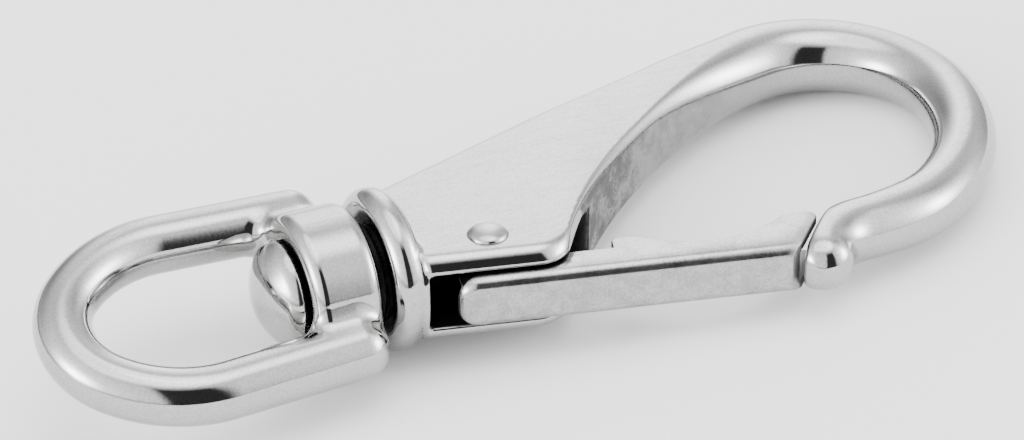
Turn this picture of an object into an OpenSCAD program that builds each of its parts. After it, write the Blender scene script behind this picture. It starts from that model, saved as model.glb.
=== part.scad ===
/* Swivel snap hook: a cast hook and a cast eye that turns on the hook's own
   shank, closed by a sprung gate folded from sheet.
   The origin is the inside of the eye's far end. The shank's axis is X, the hook lies
   in the XY plane, and Z is its thickness. */

/* [Swivel eye] */
// Diameter of the eye's rod
eye_rod_d = 5.4; // [4:0.1:6]
// Half of the eye's width, to the middle of its rod
eye_half_w = 9.2; // [8.8:0.1:11]
// Distance from the hub's back face to the middle of the eye's far end
eye_reach = 27.95; // [24:0.05:36]
// Bend radius of the eye's far end, to the middle of the rod
eye_crown_r = 7.6; // [5:0.1:8]
// Bend radius of the eye's bowed sides, to the middle of the rod
eye_side_r = 13; // [12:0.5:30]
// Angle by which each leg closes in towards the hub
eye_leg_taper = 3.1; // [0:0.1:4]
// How far the eye stands turned about its shank
eye_turn = 17.3; // [0:0.1:45]
// Outer diameter of the hub
hub_d = 14.2; // [12:0.1:15]
// Length of the hub along the shank
hub_len = 6.6; // [5:0.1:9]
// Rounding of the hub's rims
hub_round = 1.2; // [0.4:0.1:1.6]
// How far the legs' round tips stop short of the hub's back face
leg_inset = 0.4; // [0:0.1:1.5]
// Radius of the fillets between the legs and the hub
yoke_fillet = 2; // [1:0.1:3]

/* [Shank and collar] */
// Diameter of the shank that the eye turns on
shank_d = 6; // [5:0.1:7.2]
// Radial running clearance between the shank and the hub's bore
swivel_gap = 0.08; // [0.03:0.01:0.1]
// End play of the hub between the shoulder and the riveted head
swivel_play = 0.4; // [0.2:0.05:0.6]
// Diameter of the collar
collar_d = 15.4; // [14.6:0.1:18.5]
// Thickness of the collar
collar_t = 3.25; // [2.6:0.05:4]
// Rounding of the collar's rim
collar_round = 1.2; // [0.6:0.1:1.25]
// Height of the shoulder between the collar and the hub
shoulder_h = 0.85; // [0.5:0.05:1.2]
// Diameter of the shoulder
shoulder_d = 9.2; // [8.4:0.1:11]
// Diameter of the riveted head on the shank's end
head_d = 10.2; // [8:0.1:10.4]
// Height of the riveted head's straight edge
head_edge = 0.8; // [0.4:0.1:1.5]
// Height of the riveted head's dome
head_dome = 2.4; // [1.5:0.1:3.5]

/* [Hook body] */
// Thickness of the body between its two flat faces
body_t = 8.8; // [8:0.1:11]
// Width of the body at the collar, from the shank's axis to the back
back_start = 7.35; // [6.8:0.05:7.6]
// Width of the body at the collar, from the shank's axis to the cheeks' lips
lip_start = 7.65; // [7:0.05:8.4]
// Slope of the cheeks' lips against the shank's axis
lip_angle = 14; // [12:0.1:16]
// Length of the straight lips from the collar
lip_len = 10; // [8.6:0.1:11.9]
// Bend radius at the cheeks' corner
corner_r = 3.6; // [3:0.1:5]
// Width of the flat along each lip, between the channel and the rounding
lip_flat = 0.15; // [0.1:0.05:0.6]
// Thickness of the bow at its top
bow_top_d = 7.4; // [6.6:0.1:8.4]
// Thickness of the bow at its lower end
bow_end_d = 5.9; // [5.2:0.1:6.6]
// Diameter of the rounded nose
nose_d = 5.5; // [5:0.1:6]

/* [Gate] */
// Width of the gate across its two flanges
gate_w = 5; // [4.2:0.1:5.6]
// Thickness of the gate's sheet
gate_sheet = 0.8; // [0.6:0.05:1]
// Outer bend radius of the gate's folds
gate_bend = 1.1; // [0.9:0.05:1.4]
// Slope of the closed gate against the shank's axis
gate_angle = 13.9; // [13:0.1:15]
// Distance from the pin to the gate's outer face
gate_drop = 5; // [4.6:0.1:5.4]
// Length of the gate from the pin to its front edge
gate_front = 27.5; // [23:0.1:27.7]
// Length of the gate behind the pin
gate_back = 3.6; // [3:0.1:4]
// Distance of the flanges' upper edge below the pin's middle
flange_low = 1.5; // [0.6:0.1:1.7]
// Distance from the pin to the tooth on each flange
tooth_at = 11.4; // [10.5:0.1:12]
// Length of the tooth
tooth_len = 3; // [2:0.1:4]
// Radius of the finger dip in the flanges
dip_r = 11; // [8:0.5:14]
// Depth of the finger dip below the pin's middle
dip_low = 2; // [1:0.1:2.4]
// How far the flanges' front edges stand out past the web's front edge
flange_lead = 0.6; // [0.2:0.1:0.8]
// Slope of the flanges' front edges and of the nose's flat that faces them
tip_slope = 30.4; // [26:0.2:32]
// Gap between the closed gate's front edges and the nose
nose_gap = 0.3; // [0.2:0.05:0.6]
// Side clearance between the gate and each cheek
gate_gap = 0.2; // [0.12:0.01:0.3]

/* [Pin and spring] */
// Distance from the collar's back face to the pin
pin_reach = 6.65; // [6:0.05:7.2]
// Place of the pin across the shank's axis
pin_y = -5.2; // [-5.5:0.1:-5]
// Diameter of the pin
pin_d = 2.4; // [2:0.1:2.9]
// Diameter of the pin's domed heads
pin_head_d = 3.7; // [3.2:0.1:4.2]
// Height of the pin's domed heads
pin_head_h = 0.7; // [0.4:0.05:1]
// Radial running clearance between the pin and its holes
pin_gap = 0.04; // [0.02:0.01:0.1]
// Diameter of the spring's wire
wire_d = 0.5; // [0.4:0.05:0.6]
// Turns of the spring round the pin
spring_turns = 4; // [2:1:4]

/* [Hidden] */
$fn = 64;
steel = [0.8, 0.8, 0.79];

// Places along the shank, from the riveted head to the collar and the pin
rod_r = eye_rod_d / 2;
hub_back = eye_reach - rod_r;
hub_front = hub_back - hub_len;
head_seat = hub_front - swivel_play / 2;
collar_front = hub_back + swivel_play / 2 + shoulder_h;
collar_back = collar_front + collar_t;
pin_x = collar_back + pin_reach;

half_t = body_t / 2;
slot_half = gate_w / 2 + gate_gap;
// Sheet left round the pin's hole in each ear, and the room above the ears
ear_wall = 1.1;
ear_room = 0.35;
ear_r = pin_d / 2 + ear_wall;
// The channel's floor stands this far from the pin's middle, and beyond the pin it slopes
floor_away = ear_r + ear_room;
floor_slope = 6;
// Margin by which a cutting solid passes what it cuts
over = 2;
// How far the body and the lips are carried into the collar
sink = 0.4;

function unit(a) = [cos(a), sin(a)];
function left(a) = [-sin(a), cos(a)];
function mix(a, b, f) = a + (b - a) * f;
function ease(f) = f * f * (3 - 2 * f);
function flat_side(r, h) = sqrt(r * r - h * h);

// ---- chains of arcs ----

// A leg of a chain is [radius, turn], or [length, 0] where it runs straight.
// leg_at gives [place, heading] at the share f of a leg that starts at p with heading a.
function leg_at(p, a, leg, f) =
    leg[1] == 0
        ? [p + f * leg[0] * unit(a), a]
        : let (b = a + f * leg[1]) [p + sign(leg[1]) * leg[0] * (left(a) - left(b)), b];
function leg_start(start, legs, n) =
    n == 0 ? start : let (q = leg_start(start, legs, n - 1)) leg_at(q[0], q[1], legs[n - 1], 1);

// Closed skin over rings that all have the same number of points
module skin(rings) {
    n = len(rings[0]);
    m = len(rings);
    sides = [
        for (i = [0:m - 2], j = [0:n - 1])
            let (a = i * n + j, b = i * n + (j + 1) % n) each [[a, b, a + n], [b, b + n, a + n]]
    ];
    ends = [[for (j = [n - 1:-1:0]) j], [for (j = [0:n - 1]) (m - 1) * n + j]];
    polyhedron([for (ring = rings) each ring], concat(sides, ends), convexity = 6);
}

// ---- hook body ----

// The body's inner edge as one chain: along the cheeks' lips, round their corner, up the
// throat, round the bow, and down to the nose. Each leg has its number of rings.
chain_start = [[collar_back - sink, -lip_start + sink * tan(lip_angle)], -lip_angle];
legs = [
    [lip_len + sink / cos(lip_angle), 0, 4],
    [corner_r, 69.4, 9],
    [69.4, -17.9, 9],
    [45.7, -26.6, 9],
    [9, -107.8, 20],
    [18.7, -50.6, 9],
    [10.6, -18.4, 4],
    [22.5, -13.2, 3],
    [9.7, 59.8, 9]
];
// Number of legs that bound the web between the collar and the bow, and how far along
// the back each of them reaches
web_legs = 4;
back_share = [0, 0.22, 0.42, 0.78, 1];

// The section at each joint of the chain: half thickness, half height of the flat on the
// inner edge, and width of the inner rounding as a share of a full round
lip_half = slot_half + lip_flat;
sections = [
    [half_t, lip_half, 0.53],
    [half_t, lip_half, 0.53],
    [half_t, lip_half, 0.55],
    [mix(bow_top_d / 2, half_t, 0.1), lip_half, 0.88],
    [bow_top_d / 2, 0.7, 1],
    [mix(bow_end_d, bow_top_d, 0.2) / 2, 0.7, 1],
    [bow_end_d / 2, 0.6, 1],
    [bow_end_d / 2 + 0.05, 0.6, 1],
    [bow_end_d / 2 - 0.05, 0.6, 1],
    [nose_d / 2, 0.6, 1]
];
// Width of the flat along the top of the round bow, and rounding of the back at the collar
crest = 0.3;
back_round = 2;
front_steps = 8;
back_steps = 9;

// One section from p on the inner edge to out on the outer edge
function section(p, out, half, flat, share, round_w) =
    let (
        wide = norm(out - p),
        dir = (out - p) / wide,
        low = asin(flat / half),
        front = [
            for (i = [0:front_steps])
                let (a = mix(low, 90, i / front_steps))
                    [share * (flat_side(half, flat) - half * cos(a)), half * sin(a)]
        ],
        back = [
            for (i = [0:back_steps])
                let (a = 90 - 90 * i / back_steps) [wide - round_w * (1 - cos(a)), half * sin(a)]
        ],
        top = concat(front, back),
        last = len(top) - 1
    )
    concat(
        [for (q = top) [each p + q[0] * dir, q[1]]],
        [for (i = [last - 1:-1:0]) [each p + top[i][0] * dir, -top[i][1]]]
    );

// The outer edge: straight along the web's back, then round with the bow
function bow_width(half, flat) = flat_side(half, flat) + half + crest;
back_from = [chain_start[0][0], back_start];
back_to = let (q = leg_start(chain_start, legs, web_legs), s = sections[web_legs])
    q[0] + bow_width(s[0], s[1]) * left(q[1]);

// Ring at the share f of leg n
function ring(n, f) =
    let (
        from = leg_start(chain_start, legs, n),
        q = leg_at(from[0], from[1], legs[n], f),
        s = mix(sections[n], sections[n + 1], ease(f)),
        g = n < web_legs ? mix(back_share[n], back_share[n + 1], f) : 1,
        out = n < web_legs ? mix(back_from, back_to, g) : q[0] + bow_width(s[0], s[1]) * left(q[1])
    )
    section(q[0], out, s[0], s[1], s[2], mix(back_round, s[0], g * g));

// Rings that close the nose as a ball, at the angle a past its last full ring
function nose_ring(a) =
    let (
        q = leg_start(chain_start, legs, len(legs)),
        s = sections[len(legs)],
        c = cos(a),
        wide = bow_width(s[0], s[1]),
        p = q[0] + s[0] * sin(a) * unit(q[1]) + wide / 2 * (1 - c) * left(q[1])
    )
    section(p, p + wide * c * left(q[1]), s[0] * c, s[1] * c, c, s[0] * c);

body_rings = concat(
    [for (n = [0:len(legs) - 1], i = [0:legs[n][2] - 1]) ring(n, i / legs[n][2])],
    [for (a = [0, 16, 32, 48, 63, 78]) nose_ring(a)]
);

// Low dome: the cap of a ball, of radius r and height h, standing on the XY plane
module dome(r, h) {
    ball = (r * r + h * h) / (2 * h);
    rotate_extrude() intersection() {
        translate([0, h - ball]) circle(ball, $fn = 96);
        square([r, h]);
    }
}

// Disc of radius r and height h with both rims rounded
module rounded_disc(r, h, rim) {
    rotate_extrude() {
        square([r - rim, h]);
        translate([0, rim]) square([r, h - 2 * rim]);
        for (z = [rim, h - rim]) translate([r - rim, z]) circle(rim);
    }
}

module collar() {
    translate([collar_back, 0, 0]) rotate([0, -90, 0]) {
        rounded_disc(collar_d / 2, collar_t, collar_round);
        cylinder(d = shoulder_d, h = collar_t + shoulder_h);
    }
}

module shank() {
    translate([head_seat, 0, 0]) {
        rotate([0, 90, 0]) cylinder(d = shank_d, h = collar_back - head_seat);
        rotate([0, -90, 0]) {
            cylinder(d = head_d, h = head_edge);
            translate([0, 0, head_edge]) dome(head_d / 2, head_dome);
        }
    }
}

// The channel between the cheeks, in which the gate is hung and swings. Its floor runs
// level from the collar to the pin, then slopes out through the throat.
module channel() {
    corner_end = leg_start(chain_start, legs, 2)[0];
    deep = corner_end[1] - corner_r - over;
    out_x = corner_end[0] + corner_r;
    bend = [pin_x, pin_y] + floor_away * unit(90 - floor_slope);
    chamfer = 1.2;
    linear_extrude(2 * slot_half, center = true) polygon([
        [collar_back, deep],
        [collar_back, pin_y + floor_away - chamfer],
        [collar_back + chamfer, pin_y + floor_away],
        [pin_x, pin_y + floor_away],
        bend,
        [out_x, bend[1] - (out_x - bend[0]) * tan(floor_slope)],
        [out_x, deep]
    ]);
}

// The flat on the nose, ground to face the flanges' front edges
module nose_flat() {
    on_gate() translate([flange_end(0), 0, 0]) rotate(-tip_slope)
        translate([nose_gap - over, -nose_d - gate_drop, -half_t])
            cube([over, nose_d + 2 * gate_drop, body_t]);
}

module hook_body() {
    color(steel) difference() {
        union() {
            skin(body_rings);
            collar();
            shank();
        }
        channel();
        nose_flat();
        translate([pin_x, pin_y, 0])
            cylinder(d = pin_d + 2 * pin_gap, h = body_t + over, center = true);
    }
}

// ---- swivel eye ----

// The upper half of the eye's rod as a chain from the middle of the far end: half of the
// crown arc, which turns through crown_half, a bowed side, and a straight leg to the hub.
// Each leg of the chain has its number of rings.
crown_half = acos((eye_side_r - eye_half_w) / (eye_side_r - eye_crown_r));
side_turn = 90 + eye_leg_taper - crown_half;
eye_start = [[-rod_r, 0], 90];
bow_legs = [[eye_crown_r, -crown_half, 9], [eye_side_r, -side_turn, 10]];
bow_end = leg_start(eye_start, bow_legs, 2);
leg_tip_x = hub_back - leg_inset - rod_r;
eye_legs = concat(bow_legs, [[(leg_tip_x - bow_end[0][0]) / cos(eye_leg_taper), 0, 1]]);
leg_tip = leg_start(eye_start, eye_legs, len(eye_legs))[0];

// Ring of the rod at q, which is [place, heading], carried on by the angle a into the
// half ball that ends the rod
rod_sides = 32;
function rod_ring(q, a = 0) =
    let (p = q[0] + rod_r * sin(a) * unit(q[1]), side = rod_r * cos(a) * left(q[1]))
    [
        for (j = [0:rod_sides - 1])
            let (b = -360 * j / rod_sides) [each p + cos(b) * side, rod_r * cos(a) * sin(b)]
    ];
function across(q) = [[q[0][0], -q[0][1]], 180 - q[1]];

module eye_rod() {
    bowed = [
        for (n = [0:len(eye_legs) - 1], i = [1:eye_legs[n][2]])
            let (q = leg_start(eye_start, eye_legs, n)) leg_at(q[0], q[1], eye_legs[n], i / eye_legs[n][2])
    ];
    last = len(bowed) - 1;
    tip = [16, 32, 48, 64, 79];
    skin(concat(
        [for (i = [len(tip) - 1:-1:0]) rod_ring(across(bowed[last]), -tip[i])],
        [for (i = [last:-1:0]) rod_ring(across(bowed[i]))],
        [rod_ring(eye_start)],
        [for (q = bowed) rod_ring(q)],
        [for (a = tip) rod_ring(bowed[last], a)]
    ));
}

// Radius of the hub at x, within its rounded rims
function hub_at(x) =
    let (s = min(x - hub_front, hub_back - x, hub_round))
    hub_d / 2 - hub_round + flat_side(hub_round, hub_round - s);

// Section at x of the metal that fills the valleys between the hub and one leg, whose
// own section there is a circle of radius r. The fillet bites slightly into both.
yoke_bite = 0.03;
yoke_steps = 8;
function yoke_ring(x, r, fillet) =
    let (
        hub = hub_at(x),
        away = leg_tip[1] + (leg_tip[0] - x) * tan(eye_leg_taper),
        f = max(fillet, (away - hub - r) / 2 + 2 * yoke_bite),
        near_hub = hub + f - yoke_bite,
        near_leg = r + f - yoke_bite,
        y = (away * away + near_hub * near_hub - near_leg * near_leg) / (2 * away),
        z = flat_side(near_hub, y),
        from = atan2(-z, -y) + 360,
        to = atan2(-z, away - y) + 360,
        arc = [
            for (i = [0:yoke_steps])
                let (b = mix(from, to, i / yoke_steps)) [x, y + f * cos(b), z + f * sin(b)]
        ]
    )
    concat(arc, [for (i = [yoke_steps:-1:0]) [x, arc[i][1], -arc[i][2]]]);

// The fillets start on the hub's front rim, at the angle b round it, and fade out round
// the leg's tip, up to the angle at which the tip's ball leaves the hub
module yoke() {
    rim = [for (b = [40:12.5:90]) hub_round * (1 - cos(b))];
    along = [for (i = [1:3]) mix(hub_front + hub_round, leg_tip_x, i / 4)];
    leave = acos(max(0, leg_tip[1] - hub_d / 2) / rod_r);
    skin(concat(
        [for (x = concat([for (s = rim) hub_front + s], along)) yoke_ring(x, rod_r, yoke_fillet)],
        [
            for (i = [0:5])
                let (f = i / 6, a = f * leave)
                    yoke_ring(leg_tip_x + rod_r * sin(a), rod_r * cos(a), yoke_fillet * cos(90 * f))
        ]
    ));
}

module swivel_eye() {
    bore = shank_d / 2 + swivel_gap;
    color(steel) rotate([eye_turn, 0, 0]) difference() {
        union() {
            eye_rod();
            for (m = [0, 1]) mirror([0, m, 0]) yoke();
            translate([hub_back, 0, 0]) rotate([0, -90, 0])
                rounded_disc(hub_d / 2, hub_len, hub_round);
        }
        translate([hub_back + over, 0, 0]) rotate([0, -90, 0])
            cylinder(r = bore, h = hub_len + 2 * over);
    }
}

// ---- gate ----

// Everything on the gate is drawn along its own length, from the pin
module on_gate() {
    translate([pin_x, pin_y, 0]) rotate(-gate_angle) children();
}

// Place along the gate of the flanges' sloping front edges, at the height v from the pin
function flange_end(v) = gate_front + flange_lead + (v + gate_drop) * tan(tip_slope);

// Side view of the gate's flanges: an ear round the pin, a tooth, a finger dip, and a
// rounded tip over the sloping front edge
module gate_outline() {
    tip_r = 0.95;
    tip_high = 0.3;
    tip = [flange_end(tip_high) - tip_r / cos(tip_slope), tip_high];
    tip_foot = tip + tip_r * unit(-tip_slope);
    tooth_end = tooth_at + tooth_len;
    // The tooth's rear corner is cut off twice, below its top
    tooth_top = 0.2;
    tooth_cut = 0.9;
    tooth_drop = 0.3;
    dip_share = 0.48;
    dip_x = mix(tooth_at, tip[0], dip_share);
    web_edge = -gate_drop + 1.1 * gate_bend;
    difference() {
        union() {
            circle(ear_r);
            polygon([
                [-gate_back, -gate_drop],
                [gate_front, -gate_drop],
                [flange_end(-gate_drop + gate_bend), -gate_drop + gate_bend],
                tip_foot,
                [tip[0], tip_high + tip_r],
                [tooth_end, tip_high + tip_r],
                [tooth_end, 0],
                [tooth_at + tooth_cut, tooth_top],
                [tooth_at + tooth_cut / 4, tooth_top - tooth_drop],
                [tooth_at, -flange_low],
                [0, -flange_low],
                [-ear_r, 0],
                [-gate_back, web_edge]
            ]);
            translate(tip) circle(tip_r);
        }
        translate([dip_x, dip_r - dip_low]) circle(dip_r);
    }
}

// The folded sheet's section: a channel with rounded folds, open towards the throat
module gate_fold() {
    inner = gate_bend - gate_sheet;
    module trough(half, bottom, r) {
        for (m = [-1, 1]) translate([bottom + r, m * (half - r)]) circle(r);
        translate([bottom, -half + r]) square([2 * r, 2 * (half - r)]);
        translate([bottom + r, -half]) square([gate_drop + gate_w, 2 * half]);
    }
    difference() {
        trough(gate_w / 2, -gate_drop, gate_bend);
        trough(gate_w / 2 - gate_sheet, -gate_drop + gate_sheet, inner);
    }
}

module gate() {
    long = gate_back + flange_end(gate_drop);
    corner = 1.2;
    color(steel) on_gate() difference() {
        intersection() {
            translate([-gate_back, 0, 0]) rotate([90, 0, 90]) linear_extrude(long) gate_fold();
            linear_extrude(gate_w + over, center = true) gate_outline();
        }
        cylinder(d = pin_d + 2 * pin_gap, h = gate_w + over, center = true);
        // The web's rear corners are rounded
        for (m = [0, 1]) mirror([0, 0, m])
            translate([-gate_back, -gate_drop + gate_bend, gate_w / 2]) rotate([90, 0, 0])
                linear_extrude(gate_bend + over) difference() {
                    translate([-over, -corner]) square([corner + over, corner + over]);
                    translate([corner, -corner]) circle(corner);
                }
    }
}

// ---- pin and spring ----

module gate_pin() {
    color(steel) translate([pin_x, pin_y, 0]) {
        cylinder(d = pin_d, h = body_t, center = true);
        for (m = [0, 1]) mirror([0, 0, m])
            translate([0, 0, half_t]) dome(pin_head_d / 2, pin_head_h);
    }
}

// Torsion spring, drawn about the pin's middle: a coil round the pin, one leg along the
// inside of the gate's web and the other along the channel's floor
spring_gap = 0.05;
coil_slack = 0.3;
coil_r = pin_d / 2 + coil_slack + wire_d / 2;
coil_pitch = wire_d + spring_gap;
gate_leg = [gate_drop - gate_sheet - spring_gap - wire_d / 2, 25, 10];
floor_leg = [floor_away - 2 * spring_gap - wire_d / 2, 12, 8];
coil_from = -90 - gate_leg[1] - gate_angle;
coil_turn = 360 * spring_turns + coil_from - 90 - floor_leg[1] + floor_slope;
coil_half = coil_turn / 360 * coil_pitch / 2;
coil_steps = ceil(coil_turn / 24);

// A leg is [distance of its seat from the pin, slope down to the coil, length]. Its points
// run from its tip to the coil, for a seat that lies straight above the pin.
function spring_leg(leg) =
    let (
        seat = leg[0],
        down = left(leg[1]),
        bend = 0.5,
        touch = (seat - coil_r * cos(leg[1])) / tan(leg[1]) - coil_r * sin(leg[1])
    )
    [[leg[2], seat], [touch + bend, seat], [touch, seat] - bend * unit(leg[1]), coil_r * down];
function turned(p, a) = p[0] * unit(a) + p[1] * left(a);
wire_path = concat(
    [for (p = spring_leg(gate_leg)) [each turned([p[0], -p[1]], -gate_angle), coil_half]],
    [
        for (i = [1:coil_steps - 1])
            let (f = i / coil_steps)
                [each coil_r * unit(coil_from - f * coil_turn), coil_half * (1 - 2 * f)]
    ],
    let (points = spring_leg(floor_leg))
        [for (i = [len(points) - 1:-1:0]) [each turned(points[i], -floor_slope), -coil_half]]
);

// Round wire along a path that never stands upright
module wire(path, d, sides) {
    last = len(path) - 1;
    skin([
        for (i = [0:last])
            let (
                t = path[min(i + 1, last)] - path[max(i - 1, 0)],
                side = cross([0, 0, 1], t) / norm(cross([0, 0, 1], t)),
                up = cross(side, t) / norm(t)
            )
            [
                for (j = [0:sides - 1])
                    let (b = 360 * j / sides) path[i] + d / 2 * (cos(b) * side + sin(b) * up)
            ]
    ]);
}

module gate_spring() {
    color(steel) translate([pin_x, pin_y, 0]) wire(wire_path, wire_d, 6);
}

hook_body();
swivel_eye();
gate();
gate_pin();
gate_spring();
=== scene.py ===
"""Swivel snap hook: polished castings, a folded gate, a riveted pin and a wire spring."""
import math

import bpy
import numpy as np
from mathutils import Matrix, Vector
from mathutils.bvhtree import BVHTree


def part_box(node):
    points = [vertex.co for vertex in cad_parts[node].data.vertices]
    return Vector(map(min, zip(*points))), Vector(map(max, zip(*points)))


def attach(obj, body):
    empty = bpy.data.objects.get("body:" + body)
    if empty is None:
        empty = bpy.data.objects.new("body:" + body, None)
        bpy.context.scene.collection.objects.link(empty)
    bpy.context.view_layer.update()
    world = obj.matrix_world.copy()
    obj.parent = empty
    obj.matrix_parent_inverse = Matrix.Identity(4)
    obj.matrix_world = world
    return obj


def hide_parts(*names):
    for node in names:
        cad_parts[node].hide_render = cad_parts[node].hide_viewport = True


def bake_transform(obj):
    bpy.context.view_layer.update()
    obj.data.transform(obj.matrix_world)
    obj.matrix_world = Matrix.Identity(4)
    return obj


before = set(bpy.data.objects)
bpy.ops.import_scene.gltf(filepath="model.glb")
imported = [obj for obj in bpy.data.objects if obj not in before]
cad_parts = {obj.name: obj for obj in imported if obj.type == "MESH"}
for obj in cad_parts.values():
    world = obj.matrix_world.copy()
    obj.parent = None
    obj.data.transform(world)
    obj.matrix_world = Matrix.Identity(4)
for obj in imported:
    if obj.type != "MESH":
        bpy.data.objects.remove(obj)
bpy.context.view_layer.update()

MM = 0.001


def millimetres(corners):
    return [np.array(corner) / MM for corner in corners]


# ---- sizes, in millimetres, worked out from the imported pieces' own corners ----

eye_low, eye_high = millimetres(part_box("swivel_eye"))
hook_low = millimetres(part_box("hook_body"))[0]
gate_high = millimetres(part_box("gate"))[1]
pin_low, pin_high = millimetres(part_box("gate_pin"))

ROD_R = 2.7
EYE_CROWN_R = 7.6
EYE_SIDE_R = 13.0
EYE_HALF_W = 9.2
LEG_TAPER = 3.1
LEG_SHORT = 0.4
EYE_TURN = 17.3
HUB_R = 7.1
HUB_LEN = 6.6
HUB_ROUND = 1.2
HUB_BACK = float(eye_high[0])
LEG_TIP_X = HUB_BACK - LEG_SHORT - ROD_R

SHANK_R = 3.0
BORE_GAP = 0.08
RUN_GAP = 0.2
BORE_R = SHANK_R + BORE_GAP
HEAD_R = 5.1
HEAD_BALL_R = 6.62
HEAD_APEX = float(hook_low[0])
HEAD_SEAT = HUB_BACK - HUB_LEN - RUN_GAP
COLLAR_R = 7.7
COLLAR_ROUND = 1.55
SHOULDER_R = 4.6
SHOULDER_LEN = 0.85
COLLAR_FRONT = HUB_BACK + RUN_GAP + SHOULDER_LEN
COLLAR_BACK = COLLAR_FRONT + 3.25

PIN = (pin_low + pin_high) / 2
PIN_R = 1.2
PIN_HOLE_R = PIN_R + 0.04
PIN_HEAD_R = 1.85
PIN_HEAD_H = 0.7
HALF_T = float(pin_high[2]) - PIN_HEAD_H
GATE_HALF = float(gate_high[2])
SLOT_HALF = GATE_HALF + RUN_GAP
GATE_ANGLE = 13.9
EAR_R = PIN_R + 1.1
FLOOR_AWAY = EAR_R + 0.35
FLOOR_SLOPE = 6.0


def unit(a):
    a = math.radians(a)
    return np.array([math.cos(a), math.sin(a)])


def left(a):
    return unit(a + 90)


def mix(a, b, f):
    return a + (b - a) * f


def ease(f):
    return f * f * (3 - 2 * f)


# Tools reach this far past what they cut
PAST = 9

# ---- chains of arcs ----


def along(place, heading, leg, f):
    """The point and heading at the share f of a leg: (radius, turn), or (length, 0) where straight."""
    if leg[1] == 0:
        return place + f * leg[0] * unit(heading), heading
    new_heading = heading + f * leg[1]
    side = math.copysign(leg[0], leg[1])
    return place + side * (left(heading) - left(new_heading)), new_heading


def chain(place, heading, legs, step):
    """Points along a chain about step apart: (leg number, share of the leg, point, heading)."""
    place = np.array(place, float)
    out = []
    for n, leg in enumerate(legs):
        length = leg[0] if leg[1] == 0 else leg[0] * math.radians(abs(leg[1]))
        count = max(2, math.ceil(length / step))
        for i in range(count):
            point, a = along(place, heading, leg, i / count)
            out.append((n, i / count, point, a))
        place, heading = along(place, heading, leg, 1)
    out.append((len(legs) - 1, 1.0, place, heading))
    return out


# ---- fields: each takes points and gives their height over a surface and its direction ----


def lengths(v):
    return np.maximum(np.linalg.norm(v, axis=1), 1e-9)


def disc(points, x0, x1, radius, rim):
    """Disc on the shank's axis from x0 to x1, with its rims rounded by rim."""
    rho = np.maximum(np.hypot(points[:, 1], points[:, 2]), 1e-9)
    out = np.stack([np.zeros_like(rho), points[:, 1] / rho, points[:, 2] / rho], 1)
    along_x = points[:, 0] - (x0 + x1) / 2
    a = rho - (radius - rim)
    b = np.abs(along_x) - ((x1 - x0) / 2 - rim)
    ends = np.stack([np.sign(along_x), np.zeros_like(a), np.zeros_like(a)], 1)
    a0, b0 = np.maximum(a, 0), np.maximum(b, 0)
    corner = np.maximum(np.hypot(a0, b0), 1e-9)
    height = np.hypot(a0, b0) + np.minimum(np.maximum(a, b), 0) - rim
    grad = np.where(((a > 0) & (b > 0))[:, None], (a0[:, None] * out + b0[:, None] * ends) / corner[:, None],
                    np.where((a > b)[:, None], out, ends))
    return height, grad


def ball(points, centre, radius):
    away = points - centre
    d = lengths(away)
    return d - radius, away / d[:, None]


def plane(points, place, normal):
    normal = np.array(normal, float) / np.linalg.norm(normal)
    return (points - place) @ normal, np.tile(normal, (len(points), 1))


def post(points, centre, radius):
    """Round post along Z."""
    away = (points - centre) * [1, 1, 0]
    d = lengths(away)
    return d - radius, away / d[:, None]


def union(a, b, k):
    """Both shapes as one, with a fillet that grows with k."""
    h = np.clip(0.5 + 0.5 * (b[0] - a[0]) / k, 0, 1)
    grad = mix(b[1], a[1], h[:, None])
    return mix(b[0], a[0], h) - k * h * (1 - h), grad / lengths(grad)[:, None]


def common(a, b, k):
    height, grad = union((-a[0], -a[1]), (-b[0], -b[1]), k)
    return -height, -grad


def cut(a, b, k):
    """Shape b cut from shape a, with edges broken by k."""
    return common(a, (-b[0], -b[1]), k)


# ---- mesh work ----


def deselect():
    bpy.ops.object.select_all(action="DESELECT")


def only(obj):
    deselect()
    obj.select_set(True)
    bpy.context.view_layer.objects.active = obj
    return obj


def add(kind, name, **how):
    """A primitive at its size and place, ready to be shaped."""
    deselect()
    getattr(bpy.ops.mesh, f"primitive_{kind}_add")(**how)
    obj = bpy.context.object
    obj.name = name
    bpy.ops.object.transform_apply(location=True, rotation=True, scale=True)
    return obj


def modify(obj, kind, **settings):
    only(obj)
    modifier = obj.modifiers.new(kind.title(), kind)
    for key, value in settings.items():
        setattr(modifier, key, value)
    bpy.ops.object.modifier_apply(modifier=modifier.name)
    return obj


def boolean(obj, tool, operation):
    modify(obj, "BOOLEAN", object=tool, operation=operation, solver="EXACT")
    bpy.data.objects.remove(tool)
    return obj


def from_data(name, verts, faces):
    mesh = bpy.data.meshes.new(name)
    mesh.from_pydata([tuple(v) for v in verts], [], faces)
    mesh.update()
    obj = bpy.data.objects.new(name, mesh)
    bpy.context.scene.collection.objects.link(obj)
    return obj


def outward(obj):
    only(obj)
    bpy.ops.object.mode_set(mode="EDIT")
    bpy.ops.mesh.select_all(action="SELECT")
    bpy.ops.mesh.normals_make_consistent(inside=False)
    bpy.ops.object.mode_set(mode="OBJECT")
    return obj


def skin(name, rings):
    """Closed skin over rings of points, all with as many points."""
    n, m = len(rings[0]), len(rings)
    faces = [(i * n + j, i * n + (j + 1) % n, (i + 1) * n + (j + 1) % n, (i + 1) * n + j)
             for i in range(m - 1) for j in range(n)]
    faces += [tuple(range(n - 1, -1, -1)), tuple(range((m - 1) * n, m * n))]
    return outward(from_data(name, np.concatenate(rings) * MM, faces))


def points_of(obj):
    co = np.empty(len(obj.data.vertices) * 3)
    obj.data.vertices.foreach_get("co", co)
    return co.reshape(-1, 3)


LAYING_PASSES = 7


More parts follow.
